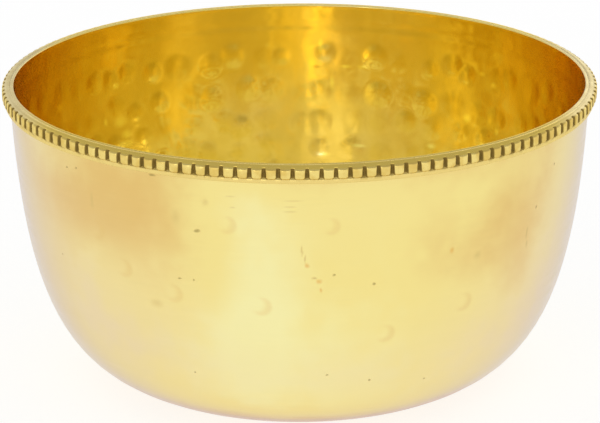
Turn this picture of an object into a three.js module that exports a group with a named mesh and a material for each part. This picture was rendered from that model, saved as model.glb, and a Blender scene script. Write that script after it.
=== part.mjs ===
// A hand-raised brass bowl with a beaded rim, in millimetres, standing on z = 0 with +Z up.
// One sheet is raised into the bowl. A beaded strip is bent to a hoop round the upright neck
// at the mouth and soldered there, with its top level with the edge of the sheet and falling away
// in a round shoulder to the beads.
import * as THREE from 'three';

// Bowl body
const bowlHeight = 78;
const mouthRadius = 73; // inside the neck
const baseRadius = 34; // edge of the flat that the bowl stands on
const sheetThickness = 1;
const sheetEdgeRounding = 0.25; // inner corner of the sheet's edge, filed round
const wallLean = 2.5; // degrees from upright where the wall leaves the neck
const wallFullness = 0.72; // how far down the wall keeps that lean, as a share of its height
const heelFullness = 0.69; // how far out the base keeps level, as a share of its way to the wall
const wallSteps = 10;

// Solder film between the neck and the strip
const solderThickness = 0.1;
const solderTopSetback = 0.12; // the fine groove that shows round the mouth

// Beaded strip
const beadCount = 142;
const stripHeight = 4.4;
const stripCrestWidth = 0.6; // level top, from the solder outwards
const shoulderWidth = 0.7; // round shoulder between that top and the beads
const shoulderDrop = 0.7;
const shoulderFullness = 0.4; // how far the shoulder swells above a straight slope, as a share of its drop
const beadProjection = 0.6; // beads beyond the foot of the shoulder
const beadTopRounding = 0.5;
const beadBottomRounding = 0.45;
const notchDepth = 1; // between two beads, inwards from their crowns
const notchTopNick = 0.25; // where a notch breaks the foot of the shoulder
const lipHeight = 1; // plain band under the beads
const lipWidth = 1.25; // from the solder to the face of that band
const beadStations = [0, 0.17, 0.36, 0.64, 0.83]; // shares of the pitch, from one notch to the next

const neckRadius = mouthRadius + sheetThickness;
const neckFoot = bowlHeight - stripHeight;
const stripInnerRadius = neckRadius + solderThickness;
const crestRadius = stripInnerRadius + stripCrestWidth;
const shoulderRadius = crestRadius + shoulderWidth;
const shoulderFoot = bowlHeight - shoulderDrop;
const crownRadius = shoulderRadius + beadProjection;
const notchRadius = crownRadius - notchDepth;
const lipRadius = stripInnerRadius + lipWidth;
const lipTop = neckFoot + lipHeight;

// Every ring of corners starts at a notch, beside the front of the bowl.
const pitchAngle = (2 * Math.PI) / beadCount;
const firstNotchAngle = pitchAngle / 2;

function ringPoint(radius, height, turn) {
  const angle = firstNotchAngle + turn * 2 * Math.PI;
  return [radius * Math.sin(angle), -radius * Math.cos(angle), height];
}

// A profile of [radius, height] points turned about the upright axis, one flat to each bead.
function turned(profile) {
  const points = profile.map(([radius, height]) => new THREE.Vector2(radius, height));
  const geometry = new THREE.LatheGeometry(points, beadCount, firstNotchAngle);
  geometry.rotateX(Math.PI / 2);
  return geometry;
}

function piece(name, geometry, material) {
  const mesh = new THREE.Mesh(geometry, material);
  mesh.name = name;
  return mesh;
}

// The wall's section: one curve that leaves the neck with the wall's lean and runs level into the flat base.
// The inside follows it, the sheet's thickness away along the normal.
function wallSection() {
  const lean = THREE.MathUtils.degToRad(wallLean);
  const upperReach = wallFullness * neckFoot;
  const lowerReach = heelFullness * (neckRadius - baseRadius);
  const outline = new THREE.CubicBezierCurve(
    new THREE.Vector2(baseRadius, 0),
    new THREE.Vector2(baseRadius + lowerReach, 0),
    new THREE.Vector2(neckRadius - upperReach * Math.sin(lean), neckFoot - upperReach * Math.cos(lean)),
    new THREE.Vector2(neckRadius, neckFoot)
  );
  const outside = [];
  const inside = [];
  for (let step = 0; step < wallSteps; step++) {
    const share = step / wallSteps;
    const point = outline.getPoint(share);
    const tangent = outline.getTangent(share);
    outside.push([point.x, point.y]);
    inside.unshift([point.x - tangent.y * sheetThickness, point.y + tangent.x * sheetThickness]);
  }
  return { outside, inside };
}

function bowlBody() {
  const { outside, inside } = wallSection();
  const profile = [
    [0, 0],
    ...outside,
    [neckRadius, neckFoot],
    [neckRadius, bowlHeight],
    [mouthRadius + sheetEdgeRounding, bowlHeight],
    [mouthRadius, bowlHeight - sheetEdgeRounding],
    [mouthRadius, neckFoot],
    ...inside,
    [0, sheetThickness],
  ];
  const brass = new THREE.MeshStandardMaterial({ color: 0xf0e097, metalness: 1, roughness: 0.3 });
  return piece('bowl_body', turned(profile), brass);
}

function solderSeam() {
  const top = bowlHeight - solderTopSetback;
  const profile = [
    [neckRadius, neckFoot],
    [stripInnerRadius, neckFoot],
    [stripInnerRadius, top],
    [neckRadius, top],
    [neckRadius, neckFoot],
  ];
  const solder = new THREE.MeshStandardMaterial({ color: 0x8f8058, metalness: 1, roughness: 0.5 });
  return piece('solder_seam', turned(profile), solder);
}

// A bead's plan, from one notch to the next: a flat crown with round sides.
function beadSwell(share) {
  const fromMiddle = Math.abs(2 * share - 1);
  return Math.sqrt(1 - fromMiddle ** 4);
}

function plainRing(radius, height) {
  const points = [];
  for (let bead = 0; bead < beadCount; bead++) {
    points.push(ringPoint(radius, height, bead / beadCount));
  }
  return points;
}

function beadedRing(atCrown, atNotch, height) {
  const points = [];
  for (let bead = 0; bead < beadCount; bead++) {
    for (const share of beadStations) {
      const radius = atNotch + (atCrown - atNotch) * beadSwell(share);
      points.push(ringPoint(radius, height, (bead + share) / beadCount));
    }
  }
  return points;
}

// A closed body from rings listed round its section. Where a plain ring meets a beaded one,
// each of the plain ring's corners fans out to the nearest corners of the other.
function bodyFromRings(rings) {
  const positions = rings.flat(2);
  const starts = [];
  let corners = 0;
  for (const ring of rings) {
    starts.push(corners);
    corners += ring.length;
  }
  const triangles = [];
  rings.forEach((ring, index) => {
    const next = (index + 1) % rings.length;
    const here = (corner) => starts[index] + (corner % ring.length);
    const there = (corner) => starts[next] + (corner % rings[next].length);
    let a = 0;
    let b = 0;
    while (a < ring.length || b < rings[next].length) {
      if ((a + 0.5) / ring.length < (b + 0.5) / rings[next].length) {
        triangles.push(here(a), here(a + 1), there(b));
        a++;
      } else {
        triangles.push(here(a), there(b + 1), there(b));
        b++;
      }
    }
  });
  const geometry = new THREE.BufferGeometry();
  geometry.setAttribute('position', new THREE.Float32BufferAttribute(positions, 3));
  geometry.setIndex(triangles);
  geometry.computeVertexNormals();
  return geometry;
}

function beadedRim() {
  const beadTop = shoulderFoot - beadTopRounding;
  const beadFoot = lipTop + beadBottomRounding;
  const shoulderMiddle = shoulderFoot + shoulderDrop * (0.5 + shoulderFullness / 2);
  const rings = [
    plainRing(stripInnerRadius, neckFoot),
    plainRing(lipRadius, neckFoot),
    plainRing(lipRadius, lipTop),
    beadedRing(crownRadius, notchRadius, beadFoot),
    beadedRing(crownRadius, notchRadius, beadTop),
    beadedRing(shoulderRadius, shoulderRadius - notchTopNick, shoulderFoot),
    plainRing((crestRadius + shoulderRadius) / 2, shoulderMiddle),
    plainRing(crestRadius, bowlHeight),
    plainRing(stripInnerRadius, bowlHeight),
  ];
  const wornBrass = new THREE.MeshStandardMaterial({ color: 0xd8c27c, metalness: 1, roughness: 0.35 });
  return piece('beaded_rim', bodyFromRings(rings), wornBrass);
}

const bowl = new THREE.Group();
bowl.add(bowlBody(), solderSeam(), beadedRim());

export default bowl;
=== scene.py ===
import bpy
import numpy as np
from mathutils import Matrix, Vector


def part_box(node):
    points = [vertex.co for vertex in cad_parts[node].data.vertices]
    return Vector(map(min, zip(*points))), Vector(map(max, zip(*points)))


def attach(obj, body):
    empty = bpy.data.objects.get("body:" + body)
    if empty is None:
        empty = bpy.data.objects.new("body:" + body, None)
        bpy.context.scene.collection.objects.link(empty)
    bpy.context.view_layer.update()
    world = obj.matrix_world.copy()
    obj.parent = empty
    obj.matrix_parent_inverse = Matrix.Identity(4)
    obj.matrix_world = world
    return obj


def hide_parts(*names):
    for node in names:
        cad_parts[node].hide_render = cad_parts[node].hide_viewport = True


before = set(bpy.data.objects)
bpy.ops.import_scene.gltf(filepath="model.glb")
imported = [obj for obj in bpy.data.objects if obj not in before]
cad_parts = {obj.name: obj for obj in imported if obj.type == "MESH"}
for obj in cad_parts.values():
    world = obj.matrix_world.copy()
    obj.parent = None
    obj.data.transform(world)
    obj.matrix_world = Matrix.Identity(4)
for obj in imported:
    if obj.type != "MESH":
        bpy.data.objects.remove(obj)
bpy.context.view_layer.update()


# The bowl: one sheet of brass, raised by hammer and planished inside, then polished outside.
# Its neck stands upright, its wall leans in by a few degrees and turns through a full heel into
# a flat base. The marks of the planishing hammer stay inside, in rough rows round the wall.

# The section is the CAD model's own. The frame gives its height and the foot of its neck.
MM = 0.001
bowl_height = round(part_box("bowl_body")[1].z, 6)
neck_foot = round(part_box("beaded_rim")[0].z, 6)  # the wall ends and the neck begins under the strip
mouth_radius = 73 * MM
base_radius = 34 * MM
sheet = 1 * MM
neck_radius = mouth_radius + sheet
edge_rounding = 0.25 * MM
wall_lean = np.radians(2.5)  # where the wall leaves the neck
wall_fullness = 0.72  # how far down the wall keeps that lean, as a share of its height
heel_fullness = 0.69  # how far out the base keeps level, as a share of its way to the wall

columns = 560  # corners in each ring of the bowl
base_rings, outside_rings, neck_rings, inside_rings, floor_rings = 4, 30, 3, 112, 18
rng = np.random.default_rng(27)


def wall_curve(share):
    """One cubic curve from the edge of the base (share 0) to the foot of the neck (share 1): it leaves
    the base level and reaches the neck at the wall's lean. At share t its four knots count
    (1-t) cubed, 3 (1-t) squared t, 3 (1-t) t squared and t cubed. Gives radius and height, and the
    unit normal into the bowl."""
    upper = wall_fullness * neck_foot
    knots = np.array([
        [base_radius, 0],
        [base_radius + heel_fullness * (neck_radius - base_radius), 0],
        [neck_radius - upper * np.sin(wall_lean), neck_foot - upper * np.cos(wall_lean)],
        [neck_radius, neck_foot],
    ])
    t = np.asarray(share, float)[:, None]
    point = (1 - t) ** 3 * knots[0] + 3 * (1 - t) ** 2 * t * knots[1]
    point = point + 3 * (1 - t) * t**2 * knots[2] + t**3 * knots[3]
    along = (1 - t) ** 2 * (knots[1] - knots[0]) + 2 * (1 - t) * t * (knots[2] - knots[1])
    along = along + t**2 * (knots[3] - knots[2])
    along = along / np.linalg.norm(along, axis=1)[:, None]
    return point, np.stack([-along[:, 1], along[:, 0]], axis=1)


def even_shares(count):
    """Shares of the wall curve that lie evenly along its length."""
    fine = np.linspace(0, 1, 2001)
    point, _ = wall_curve(fine)
    run = np.concatenate([[0], np.cumsum(np.linalg.norm(np.diff(point, axis=0), axis=1))])
    return np.interp(np.linspace(0, run[-1], count), run, fine)


def wall_place(azimuth, height, inset=0.0):
    """A point of the wall, as deep as inset under its outside: azimuth in degrees from the front,
    towards the right, and height."""
    point, _ = wall_curve(np.linspace(0, 1, 400))
    radius = np.interp(height, point[:, 1], point[:, 0]) - inset
    turn = np.radians(azimuth)
    return (radius * np.sin(turn), -radius * np.cos(turn), height)


first_rows = [14.4 * MM, 24.4 * MM, 33.0 * MM, 40.4 * MM]  # of marks, down the wall from its edge
row_pitch = 7.6 * MM  # of the rows below those
row_unevenness = 0.06
mark_pitch = 7.9 * MM  # between two marks of one row
mark_radius = 3.7 * MM
mark_radius_shares = (0.78, 1.16)  # the least and the most of it
mark_depth = 0.20 * MM
mark_depth_shares = (0.25, 1.35)
wander_round, wander_down = 0.30, 0.20  # of a mark from its place, in pitches
dish_power = 1.4  # the higher, the more a mark's depth lies in its middle


def hammer_marks(down, angle, radius):
    """Depth of the hammer marks at a place inside: down is the way along the wall from its edge,
    angle the way round, radius the distance from the axis. Each mark is a shallow dish: the depth of
    its middle times a power of one minus the square of the way out to its own radius. Where two
    marks meet the deeper one counts."""
    depth = np.zeros(down.shape)
    rows = list(first_rows)
    while rows[-1] < down.max():
        rows.append(rows[-1] + row_pitch * rng.uniform(1 - row_unevenness, 1 + row_unevenness))
    for row in rows:
        nearest = np.abs(down[:, 0] - row).argmin()
        ring = radius[nearest, 0]
        count = max(3, int(round(2 * np.pi * ring / mark_pitch)))
        phase = rng.uniform(0, 1)
        shift = rng.uniform(-wander_round, wander_round, count)
        drop = rng.uniform(-wander_down, wander_down, count) * row_pitch
        size = mark_radius * rng.uniform(*mark_radius_shares, count)
        deep = mark_depth * rng.uniform(*mark_depth_shares, count)
        place = angle / (2 * np.pi) * count - phase
        for beside in (-1, 0, 1):
            mark = np.floor(place).astype(int) + beside
            which = mark % count
            across = (place - mark - 0.5 - shift[which]) / count * 2 * np.pi * radius
            off = np.hypot(across, down - row - drop[which]) / size[which]
            depth = np.maximum(depth, deep[which] * np.clip(1 - off**2, 0, None) ** dish_power)
    return depth


swell_waves = 14
swell_turns = (5, 26)  # waves round the bowl, from the first number to less than the second
swell_lengths = (18, 60)  # mm, down the wall


def slow_swells(down, angle):
    """The slow unevenness left by raising, about one high: a sum of sine waves round and down the
    wall, each with its own count, length and phase, and lower by the square root of its count."""
    total = np.zeros(down.shape)
    for _ in range(swell_waves):
        turns = rng.integers(*swell_turns)
        length = rng.uniform(*swell_lengths) * MM
        phase = rng.uniform(0, 2 * np.pi)
        total += np.sin(turns * angle + 2 * np.pi * down / length + phase) / turns**0.5
    return total / 4


def smooth_step(value, low, high):
    """0 below low, 1 above high, and between them three squares less two cubes of the way across."""
    t = np.clip((value - low) / (high - low), 0, 1)
    return t * t * (3 - 2 * t)


def grid_faces(rows, cols):
    """Four-sided faces between the rings of a grid whose rings close on themselves."""
    ring, corner = np.meshgrid(np.arange(rows - 1), np.arange(cols), indexing="ij")
    beside = (corner + 1) % cols
    here, there = ring * cols, (ring + 1) * cols
    faces = np.stack([here + corner, here + beside, there + beside, there + corner], axis=-1)
    return faces.reshape(-1, 4)


def new_piece(name, points, *faces):
    """A smooth mesh object from an array of corners and arrays of faces."""
    mesh = bpy.data.meshes.new(name)
    mesh.from_pydata(points.tolist(), [], [face for part in faces for face in part.tolist()])
    mesh.polygons.foreach_set("use_smooth", np.ones(len(mesh.polygons), bool))
    mesh.update()
    obj = bpy.data.objects.new(name, mesh)
    bpy.context.scene.collection.objects.link(obj)
    return obj


def mark_corners(obj, name, values):
    """Keeps one number for each corner of a mesh, for its material to read."""
    flag = obj.data.attributes.new(name, "FLOAT", "POINT")
    flag.data.foreach_set("value", np.asarray(values, np.float32).reshape(-1))


# Warm and pale places outside: the brass's own uneven tone together with painted reflection and
# shade. The warm places high on the front and sides stand for darker reflected surroundings, and
# the pale places in front, left of the middle and low down, are painted highlights. Each is
# azimuth, height, half width, half height and how far it turns the brass, from -1, warm, to 1,
# pale: degrees round the bowl, mm in height.
tone_and_painted_light_places = [
    (-43, 63, 17, 11, -0.9), (-24, 52, 12, 16, -0.35), (-58, 40, 14, 30, -0.2),
    (-31, 67, 9, 8, -0.3), (48, 60, 13, 14, -0.75), (48, 42, 7, 9, -0.4), (33, 52, 12, 9, -0.4),
    (0, 74, 75, 4, -0.4), (-9, 50, 8, 30, 0.8), (-12, 26, 14, 16, 0.4), (5, 26, 45, 17, 0.45),
    (62, 60, 6, 20, 0.3), (118, 55, 22, 18, -0.8), (150, 35, 24, 22, 0.6),
    (-168, 58, 20, 15, -0.6), (-135, 40, 20, 25, 0.6), (-105, 60, 18, 15, -0.7),
    (92, 30, 18, 24, 0.5), (178, 22, 26, 14, 0.4),
    (0, 0, 900, 6.5, -1.6),  # painted shade: the turn into the base, darkened for the bowl's shadow that it reflects
]
tone_unevenness = 0.10
# A dry whitish film of polish, in the same terms, with its strength last.
haze_places = [
    (-42, 34, 20, 20, 0.75), (-62, 50, 12, 26, 0.5), (46, 28, 20, 16, 0.7), (62, 46, 12, 22, 0.5),
    (0, 22, 60, 9, 0.35), (100, 45, 20, 22, 0.6), (165, 40, 26, 18, 0.6),
    (-120, 30, 24, 16, 0.7), (-90, 55, 14, 20, 0.5),
]
# Inside, where the gold is paler.
pale_places = [
    (171, 68, 6, 15, 0.9), (173, 34, 9, 14, 0.6), (186, 48, 8, 8, 0.3), (-60, 40, 20, 20, 0.5),
    (40, 30, 30, 16, 0.5),
]


def placed(angle, height, places):
    """Each place adds its amount, falling off as a bell curve: e to the power of minus the squares
    of the way off in azimuth and in height, each as a share of its half size."""
    total = np.zeros(height.shape)
    for azimuth, level, wide, tall, amount in places:
        away = (np.degrees(angle) - azimuth + 180) % 360 - 180
        total = total + amount * np.exp(-((away / wide) ** 2) - ((height / MM - level) / tall) ** 2)
    return total


def bowl_section():
    """Radius and height of each ring, in five runs: the base from its middle outwards, the wall
    outside, the neck, the inner corner of the edge, filed to a quarter of a circle, and the inside
    down to the middle of the floor, one sheet's thickness from the outside along the normal."""
    outwards = np.linspace(0, base_radius, base_rings + 2)[1:-1]
    base = np.stack([outwards, np.zeros(base_rings)], axis=1)
    wall, _ = wall_curve(even_shares(outside_rings))
    neck = np.array([[neck_radius, bowl_height - 0.5 * MM], [neck_radius, bowl_height]])
    turn = np.radians([90, 67, 45, 22, 0])
    arris = np.stack([
        mouth_radius + edge_rounding * (1 - np.cos(turn)),
        bowl_height - edge_rounding * (1 - np.sin(turn)),
    ], axis=1)
    upright = np.linspace(bowl_height - edge_rounding, neck_foot, neck_rings + 2)[1:-1]
    inner_neck = np.stack([np.full(neck_rings, mouth_radius), upright], axis=1)
    skin, normal = wall_curve(even_shares(inside_rings)[::-1])
    inwards = np.linspace(base_radius, 0, floor_rings + 2)[1:-1]
    bottom = np.stack([inwards, np.full(floor_rings, sheet)], axis=1)
    return base, wall, neck, arris, np.concatenate([inner_neck, skin + sheet * normal, bottom])


swell_depth = 0.20 * MM
swell_rise = (4 * MM, 14 * MM)  # where the swells set in, along the wall from the edge
calm_floor = 20 * MM  # nearer to the axis than this they fade out
scraped_line = 6.4 * MM  # below the edge, where the smooth band inside ends in a fine step
scraped_step = 0.10 * MM
scraped_blur = 0.4 * MM


def hammered_inside(line, angle):
    """Radius and height of every corner inside, and how deep the hammer marks are there. Line is
    the section from the edge down. Each corner sinks into the sheet, along the section's normal,
    by the marks, the swells and the fine step."""
    run = np.linalg.norm(np.diff(line, axis=0), axis=1)
    down = np.repeat(np.cumsum(run)[:, None], columns, axis=1)
    around = np.repeat(angle, len(down), axis=0)
    along = np.gradient(line, axis=0)[1:]
    along = along / np.linalg.norm(along, axis=1)[:, None]
    radius, height = (np.repeat(part, columns, axis=1) for part in (line[1:, :1], line[1:, 1:]))
    fade = smooth_step(down, *swell_rise) * np.clip(radius / calm_floor, 0, 1)
    marks = hammer_marks(down, around, radius)
    sunk = marks + fade * swell_depth * slow_swells(down, around)
    step = smooth_step(down, scraped_line - scraped_blur, scraped_line + scraped_blur)
    sunk = sunk + scraped_step * step
    return radius - sunk * along[:, 1:], height + sunk * along[:, :1], marks


outer_swell = 0.03 * MM
outer_swell_rise = (4 * MM, 16 * MM)  # heights between which the outer swells set in
outer_swell_end = (60 * MM, 72 * MM)  # and between which they fade out
outside_slot, inside_slot, edge_slot = 0, 1, 2  # of the bowl's materials


def bowl_mesh():
    """Rings listed from the middle of the base out and up the outside, over the edge, and down the
    inside to the middle of the floor. A fan of triangles closes each end on the axis."""
    base, wall, neck, arris, inside = bowl_section()
    section = np.concatenate([base, wall, neck, arris, inside])
    rows = len(section)
    neck_from = len(base) + len(wall)
    inner_from = neck_from + len(neck) + len(arris)
    angle = np.linspace(0, 2 * np.pi, columns, endpoint=False)[None, :]
    around = np.repeat(angle, rows, axis=0)
    radius = np.repeat(section[:, :1], columns, axis=1)
    height = np.repeat(section[:, 1:], columns, axis=1)

    sunk_radius, sunk_height, marks = hammered_inside(section[inner_from - 1:], angle)
    radius[inner_from:] = sunk_radius
    height[inner_from:] = sunk_height
    outer = slice(len(base), neck_from)
    fade = smooth_step(height[outer], *outer_swell_rise)
    fade = fade * (1 - smooth_step(height[outer], *outer_swell_end))
    radius[outer] += fade * outer_swell * slow_swells(height[outer], around[outer])

    x, y = radius * np.sin(angle), -radius * np.cos(angle)
    points = np.stack([x, y, height], axis=-1).reshape(-1, 3)
    base_middle, floor_middle = len(points), len(points) + 1
    points = np.concatenate([points, [[0, 0, 0], [0, 0, sheet]]])
    corner = np.arange(columns)
    beside = (corner + 1) % columns
    last_ring = (rows - 1) * columns
    base_fan = np.stack([np.full(columns, base_middle), beside, corner], axis=1)
    floor_fan = np.stack([np.full(columns, floor_middle), last_ring + corner, last_ring + beside], axis=1)
    obj = new_piece("hammered_bowl", points, grid_faces(rows, columns), base_fan, floor_fan)

    tone = placed(around, height, tone_and_painted_light_places) + tone_unevenness * slow_swells(height, around)
    dished = np.zeros((rows, columns))
    dished[inner_from:] = marks / mark_depth
    mark_corners(obj, "dished", np.append(dished, [0, 0]))
    mark_corners(obj, "tone", np.append(np.clip(tone, -1, 1), [0, 0]))
    mark_corners(obj, "haze", np.append(placed(around, height, haze_places), [0, 0]))
    mark_corners(obj, "worn_pale", np.append(placed(around, height, pale_places), [0, 0]))

    slots = np.full((rows - 1, columns), outside_slot)
    slots[neck_from + 1:neck_from + 4] = edge_slot  # the level edge and the top of its round corner
    slots[neck_from + 4:] = inside_slot
    fan_slots = np.repeat([outside_slot, inside_slot], columns)
    obj.data.polygons.foreach_set("material_index", np.append(slots, fan_slots).astype(np.int32))
    return obj


bowl = bowl_mesh()
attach(bowl, "root")
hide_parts("bowl_body")


def node_group(name, inputs, outputs):
    """An empty shader group with named inputs (name, kind, value) and outputs (name, kind)."""
    group = bpy.data.node_groups.new(name, "ShaderNodeTree")
    for label, kind, value in inputs:
        socket = group.interface.new_socket(label, in_out="INPUT", socket_type=kind)
        if value is not None:
            socket.default_value = value
    for label, kind in outputs:
        group.interface.new_socket(label, in_out="OUTPUT", socket_type=kind)
    return group, group.nodes.new("NodeGroupInput"), group.nodes.new("NodeGroupOutput")


def set_inputs(tree, node, inputs):
    """Sets a node's inputs to a value, or links them to a socket."""
    for key, value in inputs.items():
        if isinstance(value, bpy.types.NodeSocket):
            tree.links.new(value, node.inputs[key])
        else:
            node.inputs[key].default_value = value
    return node


def add_node(tree, kind, inputs=None, **settings):
    """A node with its settings and inputs."""
    node = tree.nodes.new(kind)
    for key, value in settings.items():
        setattr(node, key, value)
    return set_inputs(tree, node, inputs or {})


def use_group(tree, group, inputs):
    """Places a group in a tree with its own values."""
    node = tree.nodes.new("ShaderNodeGroup")
    node.node_tree = group
    return set_inputs(tree, node, inputs)


def ramp(tree, value, low, high, to_low=0.0, to_high=1.0):
    """A smooth step of value from low to high."""
    node = add_node(tree, "ShaderNodeMapRange", {
        "Value": value, "From Min": low, "From Max": high, "To Min": to_low, "To Max": to_high,
    }, interpolation_type="SMOOTHSTEP")
    return node.outputs["Result"]


def mix_colour(tree, share, first, second):
    """Two colours mixed by share."""
    return add_node(tree, "ShaderNodeMix", {0: share, 6: first, 7: second}, data_type="RGBA").outputs[2]


def maths(tree, operation, first, second=0.0, third=0.0):
    """One arithmetic step."""
    node = add_node(tree, "ShaderNodeMath", {0: first, 1: second, 2: third}, operation=operation)
    return node.outputs[0]


def vector_maths(tree, operation, inputs):
    """One arithmetic step on vectors."""
    return add_node(tree, "ShaderNodeVectorMath", inputs, operation=operation)


def noise(tree, place, scale, detail, roughness=0.5):
    """Fractal noise at a place, with its size per metre."""
    return add_node(tree, "ShaderNodeTexNoise", {
        "Vector": place, "Scale": scale, "Detail": detail, "Roughness": roughness,
    })


def cloud_group():
    """Soft clouds of tarnish: broad noise plus a quarter of noise five times finer, less the
    quarter's mean, cut off smoothly between two levels."""
    group, start, end = node_group("tarnish_clouds", [
        ("Vector", "NodeSocketVector", None),
        ("Scale", "NodeSocketFloat", 40.0),
        ("Low", "NodeSocketFloat", 0.42),
        ("High", "NodeSocketFloat", 0.62),
    ], [("Mask", "NodeSocketFloat")])
    place, scale, low, high = (start.outputs[name] for name in ("Vector", "Scale", "Low", "High"))
    broad = noise(group, place, scale, 3.0, 0.55)
    fine = noise(group, place, maths(group, "MULTIPLY", scale, 5.0), 2.0)
    both = maths(group, "MULTIPLY_ADD", fine.outputs[0], 0.25, broad.outputs[0])
    centred = maths(group, "SUBTRACT", both, 0.12)
    group.links.new(ramp(group, centred, low, high), end.inputs["Mask"])
    return group


def spot_group():
    """A spot at a centre, with a half size along each axis: 1 in its core, 0 outside, and a smooth
    step between the two."""
    group, start, end = node_group("placed_spot", [
        ("Vector", "NodeSocketVector", None),
        ("Centre", "NodeSocketVector", (0, 0, 0)),
        ("Size", "NodeSocketVector", (0.001, 0.001, 0.001)),
        ("Core", "NodeSocketFloat", 0.3),
    ], [("Mask", "NodeSocketFloat")])
    place, centre, size, core = (start.outputs[name] for name in ("Vector", "Centre", "Size", "Core"))
    away = vector_maths(group, "SUBTRACT", {0: place, 1: centre}).outputs[0]
    share = vector_maths(group, "DIVIDE", {0: away, 1: size}).outputs[0]
    reach = vector_maths(group, "LENGTH", {0: share}).outputs["Value"]
    group.links.new(ramp(group, reach, core, 1.0, 1.0, 0.0), end.inputs["Mask"])
    return group


hair_line_scale = (60, 60, 2600)  # per metre: long round the bowl and very fine up it
speck_scale = 900.0


def grain_group():
    """Fine polishing grain: noise drawn out round the bowl into hair lines, and plain fine noise."""
    group, start, end = node_group("polishing_grain", [
        ("Vector", "NodeSocketVector", None),
        ("Fineness", "NodeSocketFloat", 1.0),
    ], [("Lines", "NodeSocketFloat"), ("Specks", "NodeSocketFloat")])
    place, fineness = start.outputs["Vector"], start.outputs["Fineness"]
    sized = vector_maths(group, "SCALE", {0: place, "Scale": fineness}).outputs[0]
    drawn = add_node(group, "ShaderNodeMapping", {"Vector": sized, "Scale": hair_line_scale}).outputs[0]
    group.links.new(noise(group, drawn, 1.0, 3.0, 0.6).outputs[0], end.inputs["Lines"])
    group.links.new(noise(group, sized, speck_scale, 3.0, 0.6).outputs[0], end.inputs["Specks"])
    return group


# colours of the level edge: brass in front, pale painted sheen at the sides, duller painted shade on the
# left, a brighter painted highlight behind, and a smudge
edge_brass = (0.86, 0.635, 0.135, 1)
edge_pale = (0.75, 0.635, 0.37, 1)
edge_dull = (0.66, 0.555, 0.315, 1)
edge_bright = (0.98, 0.78, 0.22, 1)
smudge_brass = (0.66, 0.47, 0.16, 1)
sheen_from, sheen_full = 0.80 * mouth_radius, 0.99 * mouth_radius  # to the left and the right
bright_from, bright_full = 0.3 * mouth_radius, 0.8 * mouth_radius  # to the back
edge_cloudiness = 0.15


def rim_sheen_and_wear_group():
    """Colour of the level edge of the mouth: golden in front, with a painted highlight behind,
    painted pale sheen at the two sides, painted shade on the left one, and a little smudged where
    the mask Dull is."""
    group, start, end = node_group("rim_sheen_and_wear", [
        ("Vector", "NodeSocketVector", None),
        ("Dull", "NodeSocketFloat", 0.0),
    ], [("Color", "NodeSocketColor")])
    axes = add_node(group, "ShaderNodeSeparateXYZ", {0: start.outputs["Vector"]})
    sideways = maths(group, "ABSOLUTE", axes.outputs["X"])
    # painted sheen at the two sides, painted shade on the left and a painted highlight behind
    side_sheen = ramp(group, sideways, sheen_from, sheen_full)
    left = ramp(group, axes.outputs["X"], -sheen_from, -sheen_full)
    behind = ramp(group, axes.outputs["Y"], bright_from, bright_full)
    edging = mix_colour(group, side_sheen, edge_brass, mix_colour(group, left, edge_pale, edge_dull))
    edging = mix_colour(group, behind, edging, edge_bright)
    smudged = maths(group, "MULTIPLY", start.outputs["Dull"], edge_cloudiness)
    group.links.new(mix_colour(group, smudged, edging, smudge_brass), end.inputs["Color"])
    return group


clouds, spot, grain, rim_sheen_and_wear = cloud_group(), spot_group(), grain_group(), rim_sheen_and_wear_group()


def new_material(name):
    """A material with its Principled shader, and its object coordinates."""
    material = bpy.data.materials.new(name)
    material.use_nodes = True
    tree = material.node_tree
    place = tree.nodes.new("ShaderNodeTexCoord").outputs["Object"]
    return material, tree, tree.nodes["Principled BSDF"], place


def corner_value(tree, name):
    """A number kept on the corners of the mesh."""
    return add_node(tree, "ShaderNodeAttribute", attribute_name=name).outputs["Fac"]


def tarnish(tree, place, scale, low, high):
    """The mask of tarnish clouds, with their size per metre and the two levels of the cut."""
    return use_group(tree, clouds, {
        "Vector": place, "Scale": scale, "Low": low, "High": high,
    }).outputs["Mask"]


def polished(tree, place, fineness):
    """The hair lines and specks of polishing."""
    node = use_group(tree, grain, {"Vector": place, "Fineness": fineness})
    return node.outputs["Lines"], node.outputs["Specks"]


def placed_spots(tree, place, places, core, inset=0.0):
    """All the spots of one kind together. Each place is azimuth in degrees, and height, half width
    and half height in mm."""
    total = None
    for azimuth, height, wide, tall in places:
        mask = use_group(tree, spot, {
            "Vector": place, "Centre": wall_place(azimuth, height * MM, inset),
            "Size": (wide * MM, wide * MM, tall * MM), "Core": core,
        }).outputs["Mask"]
        total = mask if total is None else maths(tree, "MAXIMUM", total, mask)
    return total


def bumped(tree, height, strength, distance):
    """The surface's normal, tilted by the slope of a height in which 1 stands for distance."""
    node = add_node(tree, "ShaderNodeBump", {
        "Strength": strength, "Distance": distance, "Height": height,
    })
    return node.outputs[0]


usual_brass = (0.92, 0.77, 0.285, 1)
pale_brass = (0.935, 0.865, 0.42, 1)
warm_brass = (0.79, 0.54, 0.18, 1)
polish_haze = (0.86, 0.70, 0.42, 1)
orange_stain = (0.80, 0.44, 0.09, 1)
pit_brown = (0.30, 0.22, 0.06, 1)
outer_tint = (0.80, 0.79, 1.0, 1)  # brass turns greyer towards its outline
outer_roughness = (0.17, 0.26)
waver_size, waver_reach = 700.0, 0.35 * MM  # of the outlines of spots, per metre and in metres

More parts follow.
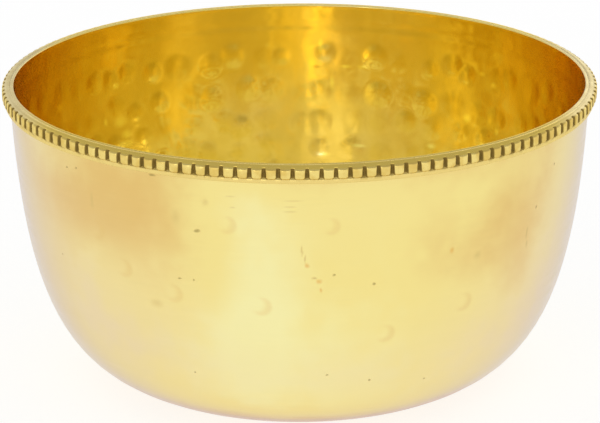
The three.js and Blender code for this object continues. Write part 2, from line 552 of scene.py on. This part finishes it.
smudges = [
    (-17.5, 67.7, 1.4, 1.6), (-29.2, 39.3, 2.6, 1.8), (-23.5, 63, 2.0, 3.0), (36, 50, 1.5, 2.0),
    (-42.8, 62.8, 0.8, 3.5), (140, 50, 2.5, 2.0), (-125, 60, 2.0, 2.5),
]
stains = [(1.3, 52.6, 0.9, 0.9), (3.5, 48.4, 1.0, 0.9), (3.9, 46.0, 0.5, 1.1), (29.8, 52.9, 0.9, 1.3)]
runs = [  # thin dark lines: the run of a dried drop, and a scratch at the right
    (0.3, 56.4, 0.35, 2.4), (0.9, 54.2, 0.4, 1.8), (2.6, 49.2, 1.0, 0.45),
    (49.6, 51.5, 0.6, 2.6), (50.0, 48.5, 0.5, 1.8),
]
scuffs = [  # level hair lines under the rim
    (-1.2, 69.0, 3.2, 0.3), (-1.8, 67.5, 2.0, 0.3), (-1.8, 66.3, 2.2, 0.35), (-12.7, 69.6, 1.8, 0.3),
    (-12.3, 66.9, 1.0, 0.3), (100, 68, 3, 0.3), (-140, 67, 3, 0.3), (170, 66, 2.5, 0.3),
]
pits = [
    (6.3, 49.9, 0.55, 0.5), (14, 46.9, 0.75, 0.55), (14.8, 19.5, 0.5, 0.45), (28.2, 17.3, 0.5, 0.4),
    (5.5, 22.1, 0.45, 0.4), (-49.5, 69.2, 0.5, 0.4), (-46.7, 69.8, 0.5, 0.45),
    (57.4, 66.8, 0.55, 0.5), (-23.4, 47.2, 0.8, 0.4), (-20.5, 47.2, 0.5, 0.3),
    (-19.3, 60.1, 1.2, 0.6), (-23.1, 20.8, 0.4, 0.4), (-54.9, 44.5, 0.5, 0.4),
    (-27.9, 72.8, 1.3, 0.45), (51.9, 57.5, 0.5, 0.7), (95, 50, 0.6, 0.6), (131, 33, 0.7, 0.5),
    (160, 61, 0.6, 0.5), (-150, 44, 0.8, 0.5), (-112, 28, 0.6, 0.5),
]
blemishes = {  # places, core of each, strength, colour, and whether the outlines waver
    "smudges": (smudges, 0.0, 0.35, smudge_brass, True),
    "stains": (stains, 0.1, 0.6, orange_stain, True),
    "runs": (runs, 0.1, 0.65, smudge_brass, True),
    "scuffs": (scuffs, 0.2, 0.3, smudge_brass, False),
    "pits": (pits, 0.2, 0.60, pit_brown, True),
}
ghosts = [  # hammer marks that show faintly outside, each with a crescent of painted shade: azimuth in degrees, height and radius in mm
    (-32.5, 63.1, 3.0), (-13.4, 62.3, 2.8), (-42, 55.3, 3.2), (-7.4, 41.6, 3.0), (-25, 42.8, 3.0),
    (5.8, 62.4, 2.6), (-36, 47, 3.0), (17, 33, 3.0), (34, 38, 3.0), (110, 62, 3.0), (146, 48, 3.2),
    (-160, 62, 3.0), (-118, 45, 3.0),
]
ghost_shade_strength, ghost_core, hollow_core = 0.30, 0.6, 0.4
hollow_shift = (-1.1, 0.5)  # degrees and mm from a ghost to its light hollow, up and to the left
tone_clouding = 0.30
haze_patchiness = 0.4
pit_roughness = 0.3
speck_relief, line_relief, pit_relief, hollow_relief = 0.35, 0.65, -6.0, -1.5  # in hundredths of a mm


def outside_material():
    """Polished brass from pale to warm, partly painted reflection and shade, with pits, stains and the
    ghosts of hammer marks: a shallow hollow in the relief and a warm crescent of painted shade,
    each crescent a spot less a smaller one shifted aside."""
    material, tree, shader, place = new_material("polished_brass_outside")
    lines, specks = polished(tree, place, 1.0)
    cloudy = tarnish(tree, place, 45.0, 0.35, 0.70)
    clouding = maths(tree, "MULTIPLY_ADD", cloudy, tone_clouding, -tone_clouding / 2)
    # the tone holds the brass's own uneven tone and the painted reflection and shade of the tone places
    tone = maths(tree, "ADD", corner_value(tree, "tone"), clouding)
    brass = mix_colour(tree, ramp(tree, tone, 0.0, 1.0), usual_brass, pale_brass)
    brass = mix_colour(tree, ramp(tree, tone, 0.0, -1.0), brass, warm_brass)
    patchy = maths(tree, "MULTIPLY_ADD", cloudy, haze_patchiness, 1 - haze_patchiness)
    haze = maths(tree, "MULTIPLY", corner_value(tree, "haze"), patchy)
    brass = mix_colour(tree, haze, brass, polish_haze)

    wavering = noise(tree, place, waver_size, 1.0).outputs["Color"]
    shaken = vector_maths(tree, "MULTIPLY_ADD", {0: wavering, 1: (2 * waver_reach,) * 3, 2: place})
    shaken = vector_maths(tree, "SUBTRACT", {0: shaken.outputs[0], 1: (waver_reach,) * 3}).outputs[0]
    masks = {}
    for kind, (places, core, strength, colour, wavers) in blemishes.items():
        spots = placed_spots(tree, shaken if wavers else place, places, core)
        masks[kind] = maths(tree, "MULTIPLY", spots, strength)
        brass = mix_colour(tree, masks[kind], brass, colour)

    aside, up = hollow_shift
    whole = [(azimuth, level, size, size) for azimuth, level, size in ghosts]
    shifted = [(azimuth + aside, level + up, size, size) for azimuth, level, size in ghosts]
    ghost = placed_spots(tree, place, whole, ghost_core)
    hollow = placed_spots(tree, place, shifted, hollow_core)
    # painted shade: a warm crescent round each ghost, opposite its light hollow
    crescent_shade = maths(tree, "MULTIPLY", ghost, maths(tree, "SUBTRACT", 1.0, hollow))
    brass = mix_colour(tree, maths(tree, "MULTIPLY", crescent_shade, ghost_shade_strength), brass, warm_brass)

    rough = ramp(tree, lines, 0.3, 0.7, *outer_roughness)
    rough = maths(tree, "MULTIPLY_ADD", masks["pits"], pit_roughness, rough)
    height = maths(tree, "MULTIPLY", lines, line_relief)
    height = maths(tree, "MULTIPLY_ADD", specks, speck_relief, height)
    height = maths(tree, "MULTIPLY_ADD", masks["pits"], pit_relief, height)
    height = maths(tree, "MULTIPLY_ADD", hollow, hollow_relief, height)
    set_inputs(tree, shader, {
        "Base Color": brass, "Metallic": 1.0, "Specular Tint": outer_tint, "Roughness": rough,
        "Normal": bumped(tree, height, 0.5, 0.01 * MM),
    })
    return material


gold_inside = (0.88, 0.73, 0.26, 1)
gold_inside_deep = (0.825, 0.658, 0.17, 1)
gold_pale = (0.88, 0.73, 0.40, 1)
glint_gold = (1.0, 0.93, 0.42, 1)
dished_from, dished_full = 0.02, 0.35  # shares of a mark's depth
mark_shade, cloud_deepening = 0.75, 0.6  # how far the marks, as painted shade, and the clouds turn the gold deep
inner_roughness = (0.08, 0.13)
ripple_scale, ripple_height = 230.0, 0.09 * MM  # of the fine waves that polishing left, per metre
grit_relief = 0.004  # share of the ripples' height

painted_glints = [  # painted glints: highlights painted bright on crests of the marks, and two painted bright places inside the edge at the sides
    (-135.5, 60.7, 1.7, 1.2), (-135.8, 50.4, 3.4, 2.2), (-137.1, 46.7, 2.6, 2.0),
    (-136.8, 44, 3.4, 1.8), (-131.4, 51.5, 1.2, 1.7), (-116.4, 60.1, 1.8, 1.6),
    (132.3, 61.1, 1.7, 1.2), (135.9, 63.5, 1.6, 0.9), (116.8, 61.3, 1.4, 1.4),
    (130.2, 48.6, 1.2, 1.4), (139.2, 50.2, 1.9, 1.8), (148, 40.4, 2.2, 1.0), (169.5, 60.5, 2.2, 0.8),
    (165.6, 60.6, 2.4, 0.9), (172.6, 55.7, 0.9, 3.2), (175.2, 66.2, 1.1, 3.2), (166, 38.1, 3.0, 0.8),
    (174.3, 35.3, 2.4, 0.8), (-94.5, 75, 7, 5), (94.5, 75, 7, 5),
]
dark_spots = [(176.1, 60.2, 1.7, 0.8)]  # a small dark spot
dark_spot_strength = 0.8


def inside_material():
    """Deep gold, deeper with painted shade in the hammer marks and deeper in clouds of older brass,
    with painted glints on the crests of the marks, a small dark spot, and fine ripples."""
    material, tree, shader, place = new_material("hammered_brass_inside")
    _, specks = polished(tree, place, 0.6)
    older = tarnish(tree, place, 70.0, 0.36, 0.66)
    dished = ramp(tree, corner_value(tree, "dished"), dished_from, dished_full)
    deeper = maths(tree, "MULTIPLY", older, cloud_deepening)
    # painted shade: the gold turns deeper over the hollows of the hammer marks
    deeper = maths(tree, "MULTIPLY_ADD", dished, mark_shade, deeper)
    gold = mix_colour(tree, deeper, gold_inside, gold_inside_deep)
    gold = mix_colour(tree, corner_value(tree, "worn_pale"), gold, gold_pale)
    # painted glints: bright gold where highlights lie on the marks' crests
    gold = mix_colour(tree, placed_spots(tree, place, painted_glints, 0.1, sheet), gold, glint_gold)
    darkened = maths(tree, "MULTIPLY", placed_spots(tree, place, dark_spots, 0.1, sheet), dark_spot_strength)
    ripple = noise(tree, place, ripple_scale, 0.0).outputs[0]
    height = maths(tree, "MULTIPLY_ADD", specks, grit_relief, ripple)
    set_inputs(tree, shader, {
        "Base Color": mix_colour(tree, darkened, gold, smudge_brass), "Metallic": 1.0,
        "Roughness": ramp(tree, older, 0.0, 1.0, *inner_roughness),
        "Normal": bumped(tree, height, 0.5, ripple_height),
    })
    return material


rim_tint = (0.92, 0.87, 0.68, 1)
edge_roughness = (0.20, 0.28)


def edge_material():
    """The level edge of the sheet: filed smooth, a little cloudy, coloured with painted sheen, shade and
    highlight.
    """
    material, tree, shader, place = new_material("filed_edge")
    dull = tarnish(tree, place, 260.0, 0.38, 0.66)
    _, specks = polished(tree, place, 1.4)
    edge_sheen_and_wear = use_group(tree, rim_sheen_and_wear, {"Vector": place, "Dull": dull})
    set_inputs(tree, shader, {
        "Base Color": edge_sheen_and_wear.outputs["Color"], "Metallic": 1.0, "Specular Tint": rim_tint,
        "Roughness": ramp(tree, dull, 0.0, 1.0, *edge_roughness),
        "Normal": bumped(tree, specks, 0.3, 0.01 * MM),
    })
    return material


bowl.data.materials.append(outside_material())
bowl.data.materials.append(inside_material())
bowl.data.materials.append(edge_material())


# The beaded strip: rolled half-round beading with a level top face and a plain lip below,
# bent to a hoop round the neck. Its beads are polished on their crowns, and dirt sits in the notches,
# with painted shade beside the beads' feet and on their sides.

bead_count = 142
solder_gap = 0.1 * MM
strip_inner = neck_radius + solder_gap
crest_width = 0.6 * MM  # level top
filed_corner, corner_lean = 0.03 * MM, 0.08 * MM  # its inner corner, and how far it leans over the seam
shoulder_width = 0.7 * MM  # round shoulder between that top and the beads
shoulder_drop = 0.7 * MM  # in front
mean_drop, drop_swing = 0.6, 0.4  # as shares of it: the strip lies nearly level behind
crest_radius = strip_inner + crest_width
shoulder_radius = crest_radius + shoulder_width
crown_radius = shoulder_radius + 0.6 * MM
notch_radius = crown_radius - 1.0 * MM
top_nick = 0.2 * MM  # where a notch breaks the foot of the shoulder
bead_rounding = 0.45 * MM
lip_radius = strip_inner + 1.25 * MM
lip_top = neck_foot + 1.0 * MM
lip_rounding = 0.22 * MM
bead_flare = 0.07  # how much wider a bead's top is than its foot
bead_width = 0.83  # share of the pitch, the rest is the notch
foot_rounding = 0.3  # share of the bead's height
corner_reach = 0.34  # share of the bead's height over which its foot corners are round
corner_draw = 0.42  # how far they draw the bead's sides in, as a share of its half width
notch_runout = 0.2  # share of the bead's height over which a notch runs out onto the lip
bead_stations = np.array([0, 0.085, 0.13, 0.155, 0.21, 0.33, 0.5, 0.67, 0.79, 0.845, 0.87, 0.915])


def bead_edge(climb):
    """Half width of a bead as a share of half the pitch: it grows evenly upwards, and a parabola
    draws it in at the foot, where its corners are round. Climb runs from the lip, 0, to the bead's
    top, 1."""
    drawn_in = corner_draw * np.clip(1 - climb / corner_reach, 0, 1) ** 2
    return (bead_width + bead_flare * (climb - 0.5)) * (1 - drawn_in)


def bead_swell(share, climb):
    """How far a bead stands out, from 0 in the notch to 1 on the crown, at a share of the pitch from
    one notch to the next: the square root of one minus the fourth power of the way across."""
    across = np.abs(2 * share - 1) / bead_edge(climb)
    return np.sqrt(np.clip(1 - across**4, 0, 1))


def notch_dirt_and_shade(share, climb, sideways):
    """Dirt and painted shade, 0 to 1, as the most of three: a smooth step into the notch, above its
    foot, where dirt sits; a bell curve of painted shade along the edge of the bead, beside its round
    foot corners; and a thin film of painted shade at the notch's foot, dimming a highlight there.
    It reaches further over the beads at the two sides of the bowl, where sideways is 1, as painted
    shade on their sides."""
    beyond = np.abs(2 * share - 1) - bead_edge(climb)
    filled = smooth_step(beyond, -0.25 - 0.18 * sideways, -0.03 - 0.10 * sideways)
    filled = filled * smooth_step(climb, 0.08, 0.26)
    beside = np.exp(-((beyond / 0.12) ** 2))
    beside = beside * smooth_step(climb, -0.03, 0.06) * (1 - smooth_step(climb, 0.3, 0.4))
    film = 0.35 * smooth_step(beyond, -0.05, 0.05) * (1 - smooth_step(climb, 0.1, 0.3))
    return np.maximum(np.maximum(filled, beside), film)


def strip_ring(radius, height, dirt_and_shade=0.0, land=0.0, lip=0.0):
    """One ring of the strip's corners. Each value is one number, or an array with one for each
    corner: land is 1 on the level top and shoulder, lip is 1 on the plain band below."""
    everywhere = np.ones(bead_count * len(bead_stations))
    return [value * everywhere for value in (radius, height, dirt_and_shade, land, lip)]


def top_rings():
    """Up the inner face, round its filed corner and over the level top."""
    rings = [
        strip_ring(strip_inner, neck_foot),
        strip_ring(strip_inner, bowl_height - 2 * filed_corner, land=1),
        strip_ring(strip_inner - corner_lean, bowl_height - filed_corner, land=1),
    ]
    for out in (filed_corner - corner_lean, 0.5 * crest_width, 0.9 * crest_width):
        rings.append(strip_ring(strip_inner + out, bowl_height, land=1))
    return rings


def shoulder_rings(drop, notch_top_dirt_and_shade):
    """Down the round shoulder, which falls by the power one and a half of the way across. Dirt and
    painted shade from the notches reach up its foot."""
    rings = []
    for out in (0.15, 0.4, 0.65, 0.85):
        height = bowl_height - drop * out**1.5
        # dirt and painted shade from the notches
        dust_and_shade = notch_top_dirt_and_shade * 0.7 * smooth_step(out, 0.65, 1.0)
        rings.append(strip_ring(crest_radius + out * shoulder_width, height, dust_and_shade, land=1))
    return rings


def bead_top_rings(share, foot, top, notch_top_dirt_and_shade):
    """Over the rounded tops of the beads: a quarter of an ellipse from the foot of the shoulder out
    to the crowns, and in the notches another that goes in, with the bead's swell between the two."""
    rings = []
    nick = shoulder_radius - top_nick
    for lean in np.radians([90, 62, 32, 0]):
        crown = shoulder_radius + (crown_radius - shoulder_radius) * np.cos(lean)
        notch = nick + (notch_radius - shoulder_radius + top_nick) * np.cos(lean)
        radius = notch + (crown - notch) * bead_swell(share, 1.0)
        height = top + (foot - top) * np.sin(lean)
        # painted shade and dirt at the notch's top, which dims a bright rim there
        dirt_and_shade = notch_top_dirt_and_shade * (0.75 + 0.17 * np.cos(lean))
        rings.append(strip_ring(radius, height, dirt_and_shade, land=(1 - np.cos(lean)) ** 2))
    return rings


def bead_rings(share, top, sideways):
    """Down the beads to the lip: the crowns stand upright and round off over a quarter of a sine
    wave at the foot, and the notches run out onto the lip in a straight slope."""
    rings = []
    for climb in (0.7, 0.42, 0.3, 0.2, 0.11, 0.04, 0.0):
        round_foot = np.sin(np.pi / 2 * np.clip(climb / foot_rounding, 0, 1))
        crown = lip_radius + (crown_radius - lip_radius) * round_foot
        notch = notch_radius + (lip_radius - notch_radius) * np.clip(1 - climb / notch_runout, 0, 1)
        radius = notch + (crown - notch) * bead_swell(share, climb)
        height = lip_top + (top - lip_top) * climb
        lip = 1 - smooth_step(climb, 0.0, 0.25)
        rings.append(strip_ring(radius, height, notch_dirt_and_shade(share, climb, sideways), lip=lip))
    return rings


def lip_rings():
    """Down the plain lip and round its lower corner, a quarter of a circle."""
    rings = []
    for lean in np.radians([0, 45, 90]):
        radius = lip_radius - lip_rounding * (1 - np.cos(lean))
        rings.append(strip_ring(radius, neck_foot + lip_rounding * (1 - np.sin(lean)), lip=1))
    return rings


def strip_mesh():
    """Rings round the section of the strip: up its inner face, over the level top, down the shoulder,
    the beads and the lip, and back along the underside. The beads' rings change along each pitch,
    and the drop of the shoulder with the cosine of the way round the bowl."""
    share = np.tile(bead_stations, bead_count)
    turn = (np.repeat(np.arange(bead_count), len(bead_stations)) + share) / bead_count
    angle = 2 * np.pi * (turn + 0.5 / bead_count)
    sideways = np.sin(angle) ** 2
    drop = shoulder_drop * (mean_drop + drop_swing * np.cos(angle))
    foot = bowl_height - drop
    top = foot - bead_rounding
    notch_top_dirt_and_shade = notch_dirt_and_shade(share, 1.0, sideways)
    rings = top_rings() + shoulder_rings(drop, notch_top_dirt_and_shade)
    rings += bead_top_rings(share, foot, top, notch_top_dirt_and_shade) + bead_rings(share, top, sideways)
    rings += lip_rings()
    radius, height, dirt_and_shade, land, lip = (np.stack(part) for part in zip(*rings))

    points = np.stack([radius * np.sin(angle), -radius * np.cos(angle), height], axis=-1)
    corner = np.arange(len(share))
    beside = (corner + 1) % len(share)
    last_ring = (len(rings) - 1) * len(share)
    underside = np.stack([last_ring + corner, last_ring + beside, beside, corner], axis=1)
    faces = np.concatenate([grid_faces(len(rings), len(share)), underside])[:, ::-1]
    obj = new_piece("beaded_strip", points.reshape(-1, 3), faces)
    mark_corners(obj, "dirt_and_shade", dirt_and_shade)
    mark_corners(obj, "land", land)
    mark_corners(obj, "lip", lip)
    return obj


strip = strip_mesh()
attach(strip, "root")
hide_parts("beaded_rim")

bead_brass = (0.77, 0.55, 0.14, 1)
bead_bright = (0.88, 0.69, 0.22, 1)
lip_brass = (0.86, 0.66, 0.22, 1)
dirt_and_shade_brown = (0.36, 0.24, 0.05, 1)
clean_to_dirty_roughness = (0.24, 0.65)
clean_to_dirty_metal = (1.0, 0.3)


def strip_material():
    """Worn brass: cloudy beads, a smoother level face with the edge's painted sheen and shade, a brighter
    lip, and brown dirt in the notches, with painted shade beside the beads' feet and on their sides.
    """
    material, tree, shader, place = new_material("rim_brass")
    dirt_and_shade, land, lip = (corner_value(tree, name) for name in ("dirt_and_shade", "land", "lip"))
    mottled = tarnish(tree, place, 220.0, 0.36, 0.64)
    _, specks = polished(tree, place, 1.4)
    edge_sheen_and_wear = use_group(tree, rim_sheen_and_wear, {"Vector": place, "Dull": mottled})
    metal = mix_colour(tree, mottled, bead_bright, bead_brass)
    metal = mix_colour(tree, land, metal, edge_sheen_and_wear.outputs["Color"])
    metal = mix_colour(tree, lip, metal, lip_brass)
    uneven = maths(tree, "MULTIPLY_ADD", mottled, 0.25, maths(tree, "SUBTRACT", dirt_and_shade, 0.12))
    rough = ramp(tree, dirt_and_shade, 0.2, 0.9, *clean_to_dirty_roughness)
    rough = maths(tree, "MULTIPLY_ADD", mottled, 0.10, rough)
    height = maths(tree, "MULTIPLY_ADD", mottled, 0.9, maths(tree, "MULTIPLY", specks, 0.5))
    height = maths(tree, "MULTIPLY", height, ramp(tree, land, 0.0, 1.0, 1.0, 0.2))
    set_inputs(tree, shader, {
        # brown for dirt in the notches and for painted shade beside them
        "Base Color": mix_colour(tree, ramp(tree, uneven, 0.15, 0.75), metal, dirt_and_shade_brown),
        "Specular Tint": rim_tint,
        "Roughness": maths(tree, "MULTIPLY_ADD", land, -0.04, rough),
        "Metallic": ramp(tree, dirt_and_shade, 0.5, 1.0, *clean_to_dirty_metal),
        "Normal": bumped(tree, height, 0.5, 0.02 * MM),
    })
    return material


strip.data.materials.append(strip_material())


# The seam: a film of brazing metal between the neck and the strip. It has tarnished, and shows
# as a fine line round the mouth, a little below the level of the edge.

seam_dull = (0.66, 0.52, 0.20, 1)
seam_dark = (0.40, 0.30, 0.11, 1)
seam_roughness = (0.4, 0.65)


def seam_material():
    """Dull brazing metal with dark spots along it."""
    material, tree, shader, place = new_material("solder")
    spots = tarnish(tree, place, 300.0, 0.40, 0.60)
    _, specks = polished(tree, place, 1.8)
    set_inputs(tree, shader, {
        "Base Color": mix_colour(tree, spots, seam_dull, seam_dark), "Metallic": 0.9,
        "Roughness": ramp(tree, spots, 0.0, 1.0, *seam_roughness),
        "Normal": bumped(tree, specks, 0.6, 0.03 * MM),
    })
    return material


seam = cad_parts["solder_seam"]
seam.data.materials.clear()
seam.data.materials.append(seam_material())


# The floor: a plain white sheet that the bowl stands on, wider than the picture shows.
# It isn't part of the bowl.

floor_half = 1.5
floor_level = -0.1 * MM
floor_white = (0.36, 0.36, 0.36, 1)
floor_glow = 0.78


def floor_material():
    """Matt, with a plain white glow added for the camera and for reflections, so that the sheet is
    white and the bowl's shadow stays on it. From below it can be seen through."""
    material, tree, _, _ = new_material("white_sheet")
    tree.nodes.clear()
    matt = add_node(tree, "ShaderNodeBsdfDiffuse", {"Color": floor_white})
    path = tree.nodes.new("ShaderNodeLightPath")
    seen = maths(tree, "MAXIMUM", path.outputs["Is Camera Ray"], path.outputs["Is Glossy Ray"])
    seen = maths(tree, "MAXIMUM", seen, path.outputs["Is Transmission Ray"])
    glow = add_node(tree, "ShaderNodeEmission", {"Strength": maths(tree, "MULTIPLY", seen, floor_glow)})
    both = add_node(tree, "ShaderNodeAddShader", {0: matt.outputs[0], 1: glow.outputs[0]})
    below = tree.nodes.new("ShaderNodeNewGeometry").outputs["Backfacing"]
    clear = tree.nodes.new("ShaderNodeBsdfTransparent")
    surface = add_node(tree, "ShaderNodeMixShader", {0: below, 1: both.outputs[0], 2: clear.outputs[0]})
    add_node(tree, "ShaderNodeOutputMaterial", {"Surface": surface.outputs[0]})
    return material


floor = new_piece("floor", np.array([
    [-floor_half, -floor_half, floor_level], [floor_half, -floor_half, floor_level],
    [floor_half, floor_half, floor_level], [-floor_half, floor_half, floor_level],
]), np.array([[0, 1, 2, 3]]))
floor.data.materials.append(floor_material())


# The studio: white all round and softer overhead, with soft lamps in front and behind.
# Its light falls on the bowl at a plain level, at which a colour renders about as it is written.

horizon_light, overhead_light = 1.0, 0.55
horizon_top, overhead_from = np.sin(np.radians(14)), np.sin(np.radians(38))
matt_share = 0.9  # what matt surfaces get of the brightness that reflections show

world = bpy.data.worlds.new("studio")
bpy.context.scene.world = world
world.use_nodes = True
sky = world.node_tree
direction = sky.nodes.new("ShaderNodeTexCoord").outputs["Generated"]
rise = add_node(sky, "ShaderNodeSeparateXYZ", {0: direction}).outputs["Z"]
graded = ramp(sky, rise, horizon_top, overhead_from, horizon_light, overhead_light)
path = sky.nodes.new("ShaderNodeLightPath")
plain_white = maths(sky, "MAXIMUM", path.outputs["Is Camera Ray"], path.outputs["Is Transmission Ray"])
reflected = maths(sky, "MULTIPLY_ADD", path.outputs["Is Glossy Ray"], 1 - matt_share, matt_share)
graded = maths(sky, "MULTIPLY", graded, reflected)
strength = add_node(sky, "ShaderNodeMix", {0: plain_white, 2: graded, 3: 1.0}, data_type="FLOAT")
set_inputs(sky, sky.nodes["Background"], {"Color": (1, 1, 1, 1), "Strength": strength.outputs[0]})

lamps = [  # name, azimuth and elevation in degrees, distance, width and height in metres, brightness
    ("front_left", -22, 15, 1.35, 0.85, 0.34, 0.80),
    ("window", -29, 15, 1.22, 0.16, 0.36, 1.8),
    ("front_right", 17, 15, 1.38, 0.78, 0.34, 0.5),
    ("back_right", 152, 17, 1.2, 0.85, 0.34, 0.38),
]


def soft_lamp(name, azimuth, elevation, distance, width, height, brightness):
    """A flat lamp that faces the mouth of the bowl, hidden from the camera but not from the metal.
    Its power is its brightness, where 1 is white, times pi and its area."""
    lamp = bpy.data.lights.new(name, "AREA")
    lamp.shape = "RECTANGLE"
    lamp.size, lamp.size_y = width, height
    lamp.energy = brightness * np.pi * width * height
    obj = bpy.data.objects.new(name, lamp)
    side, lift = np.radians(azimuth), np.radians(elevation)
    mouth = Vector((0, 0, bowl_height))
    away = Vector((np.sin(side) * np.cos(lift), -np.cos(side) * np.cos(lift), np.sin(lift)))
    turn = away.to_track_quat("Z", "Y").to_matrix().to_4x4()
    obj.matrix_world = Matrix.Translation(mouth + distance * away) @ turn
    obj.visible_camera = False
    bpy.context.scene.collection.objects.link(obj)


for lamp in lamps:
    soft_lamp(*lamp)

scene = bpy.context.scene
scene.view_settings.view_transform = "Standard"
scene.cycles.max_bounces = 16  # light goes many times between the walls of the bowl
scene.cycles.glossy_bounces = 16


# The camera: a long lens a little above the mouth. Its distance, pitch and roll are what the
# ellipse of the mouth and the even spacing of the beads ask for.

picture_width, picture_height = 600, 423
lens_pixels = 2695.6  # focal length in pixels of the picture
pitch, roll = np.radians(18.81), np.radians(0.269)
rim_depth = 9.473 * mouth_radius  # of the middle of the mouth, along the view
rim_pixel = (299.40, 76.14)  # where it lands in the picture

right = np.array([1, 0, 0])
up = np.array([0, np.sin(pitch), np.cos(pitch)])
ahead = np.array([0, np.cos(pitch), -np.sin(pitch)])
right, up = np.cos(roll) * right - np.sin(roll) * up, np.sin(roll) * right + np.cos(roll) * up
aside = (rim_pixel[0] - picture_width / 2) / lens_pixels * rim_depth
above = (picture_height / 2 - rim_pixel[1]) / lens_pixels * rim_depth
eye = np.array([0, 0, bowl_height]) - aside * right - above * up - rim_depth * ahead

camera = bpy.data.cameras.new("camera")
camera.sensor_width = 36
camera.lens = lens_pixels * camera.sensor_width / picture_width
camera.clip_start, camera.clip_end = 0.05, 10
camera_object = bpy.data.objects.new("camera", camera)
turn = Matrix([right, up, -ahead]).transposed().to_4x4()
camera_object.matrix_world = Matrix.Translation(Vector(eye)) @ turn
bpy.context.scene.collection.objects.link(camera_object)
bpy.context.scene.camera = camera_object
